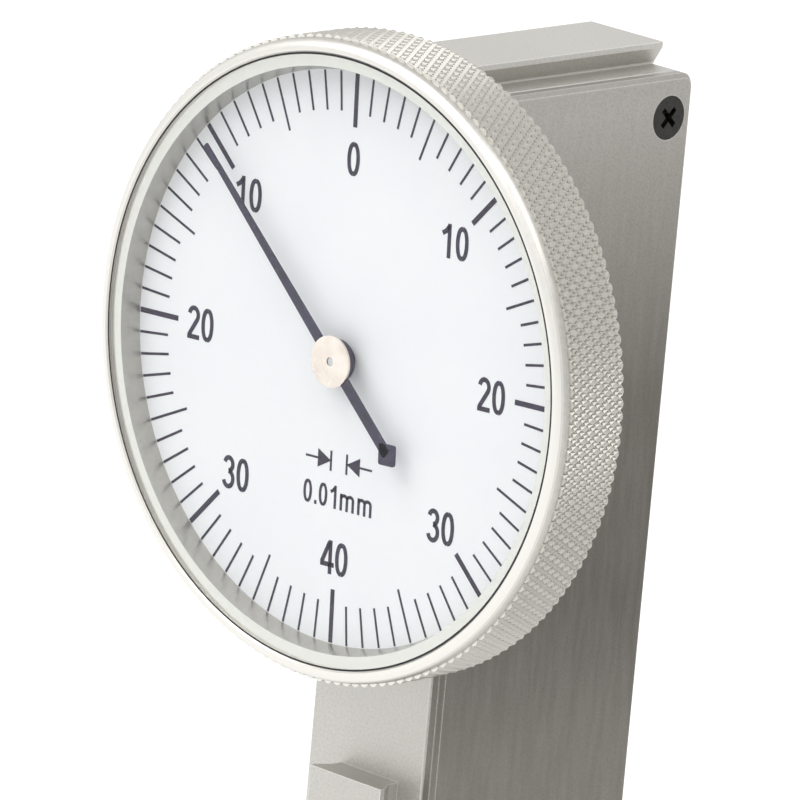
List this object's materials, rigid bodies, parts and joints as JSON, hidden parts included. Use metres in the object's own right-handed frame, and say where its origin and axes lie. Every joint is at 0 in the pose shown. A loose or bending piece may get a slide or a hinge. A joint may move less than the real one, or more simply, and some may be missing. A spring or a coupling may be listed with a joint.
{
  "type": "dial test indicator",
  "caption": "Lever dial test indicator: knurled turning bezel over a white dial, slim dovetailed body, and a tilting ball-tip stylus that drives the pointer through gears.",
  "frame": {"origin": "middle of the top dovetail rail's flat face, where a clamp holds the instrument", "axes": "+Z out of the top rail, away from the stylus; the dial faces -Y; +X to the side cover"},
  "size_m": [0.0392, 0.0261, 0.0855],
  "materials": {
    "body_steel": "fine satin, light blast on the front and back faces",
    "cover_steel": "fine bead-blasted satin with bright chamfers",
    "bezel_metal": "matt chrome satin with a diamond-knurled rim",
    "black_screw": "black oxide",
    "bright_steel": "polished small turned parts",
    "spring_steel": "tempered strip",
    "movement_brass": "gear and bridge brass",
    "ruby": "synthetic ruby ring jewels",
    "crystal_glass": "clear flat crystal",
    "gasket_black": "thin seal",
    "dial_white": "matt white dial paint with dark graduations",
    "pointer_blue": "blue-black lacquer",
    "cap_nickel": "polished nickel cap",
    "carbide": "ground carbide"
  },
  "bodies": {
    "body": {"housing": "body_steel", "side_cover": "cover_steel", "cover_screws": "black_screw", "dial_case": "body_steel", "case_screws": "bright_steel", "centre_cock": "movement_brass", "cock_screws": "bright_steel", "movement_bridge": "movement_brass", "bridge_screws": "bright_steel", "jewel_bearings": "ruby", "hairspring_stud": "movement_brass", "pivot_screws": "bright_steel", "stop_pins": "bright_steel", "leaf_spring_screw": "bright_steel", "return_spring": "spring_steel", "friction_ring": "spring_steel"},
    "bezel_unit": {"bezel": "bezel_metal", "crystal": "crystal_glass", "crystal_gasket": "gasket_black", "dial_plate": "dial_white", "dial_retainer": "spring_steel", "bezel_clip_ring": "body_steel"},
    "pointer_unit": {"pointer": "pointer_blue", "pointer_boss": "movement_brass", "pointer_cap": "cap_nickel", "centre_arbor": "bright_steel", "centre_pinion": "bright_steel", "hairspring_collet": "movement_brass", "hairspring": "spring_steel"},
    "crown_unit": {"crown_gear": "movement_brass", "crown_arbor": "bright_steel", "sector_pinion": "bright_steel"},
    "lever_unit": {"lever": "body_steel", "sector_gear": "movement_brass", "sector_rivets": "movement_brass", "pivot_axle": "bright_steel", "friction_washers": "spring_steel"},
    "stylus_unit": {"stylus_swivel": "bright_steel", "stylus_shank": "bright_steel", "stylus_ball": "carbide"}
  },
  "joints": [
    {"name": "bezel_turn", "type": "hinge", "parent": "body", "child": "bezel_unit", "pos_m": [0, -0.01385, -0.01805], "axis": [0, 1, 0], "continuous": true},
    {"name": "lever_swing", "type": "hinge", "parent": "body", "child": "lever_unit", "pos_m": [0, -0.0036, -0.06506], "axis": [1, 0, 0], "range_deg": [0, 2.8], "stiffness_Nm_per_rad": 0.01, "springref_deg": -11.46, "deforming": ["return_spring"]},
    {"name": "crown_spin", "type": "hinge", "parent": "body", "child": "crown_unit", "pos_m": [0, 0.00064, -0.01805], "axis": [1, 0, 0], "range_deg": [-93, 0]},
    {"name": "pointer_spin", "type": "hinge", "parent": "body", "child": "pointer_unit", "pos_m": [0, -0.01385, -0.01805], "axis": [0, 1, 0], "range_deg": [0, 394], "deforming": ["hairspring"]},
    {"name": "stylus_tilt", "type": "hinge", "parent": "lever_unit", "child": "stylus_unit", "pos_m": [0, -0.0036, -0.06506], "axis": [1, 0, 0], "range_deg": [-105, 105]}
  ],
  "couplings": [
    {"joint": "crown_spin", "follows": "lever_swing", "ratio": -32.714},
    {"joint": "pointer_spin", "follows": "lever_swing", "ratio": 140.2}
  ]
}
